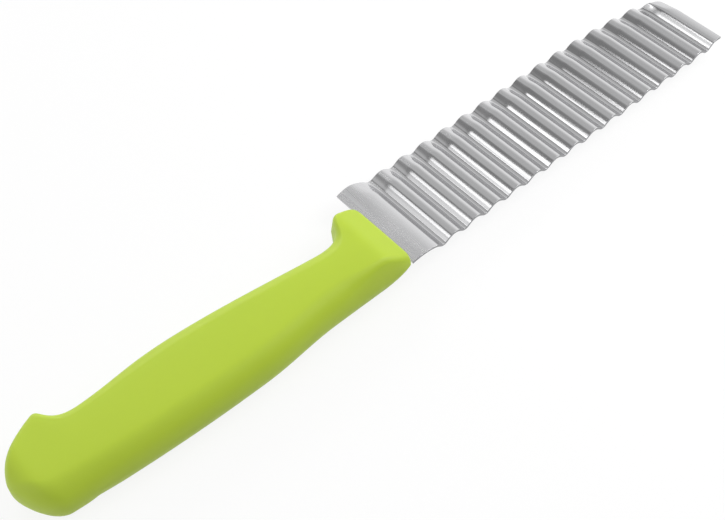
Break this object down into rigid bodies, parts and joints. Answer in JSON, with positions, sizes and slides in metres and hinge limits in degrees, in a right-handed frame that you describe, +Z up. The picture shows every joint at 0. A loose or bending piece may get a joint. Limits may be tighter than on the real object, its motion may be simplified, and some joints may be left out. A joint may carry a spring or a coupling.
{
  "type": "crinkle cutter",
  "caption": "Crinkle cutter knife: a straight wavy steel blade whose hidden tang is moulded into a one-piece lime green plastic handle with a finger guard and a hooked end.",
  "frame": {"origin": "middle of the knife's box, on the surface that it lies on", "axes": "+X from the handle to the tip of the blade, +Y from the spine to the cutting edge, +Z up through the thickness of the handle"},
  "size_m": [0.2826, 0.0382, 0.016],
  "materials": {
    "blade_steel": "polished stainless sheet with a satin root",
    "handle_plastic": "satin lime green plastic"
  },
  "bodies": {
    "root": {"blade": "blade_steel", "handle": "handle_plastic"}
  },
  "joints": []
}
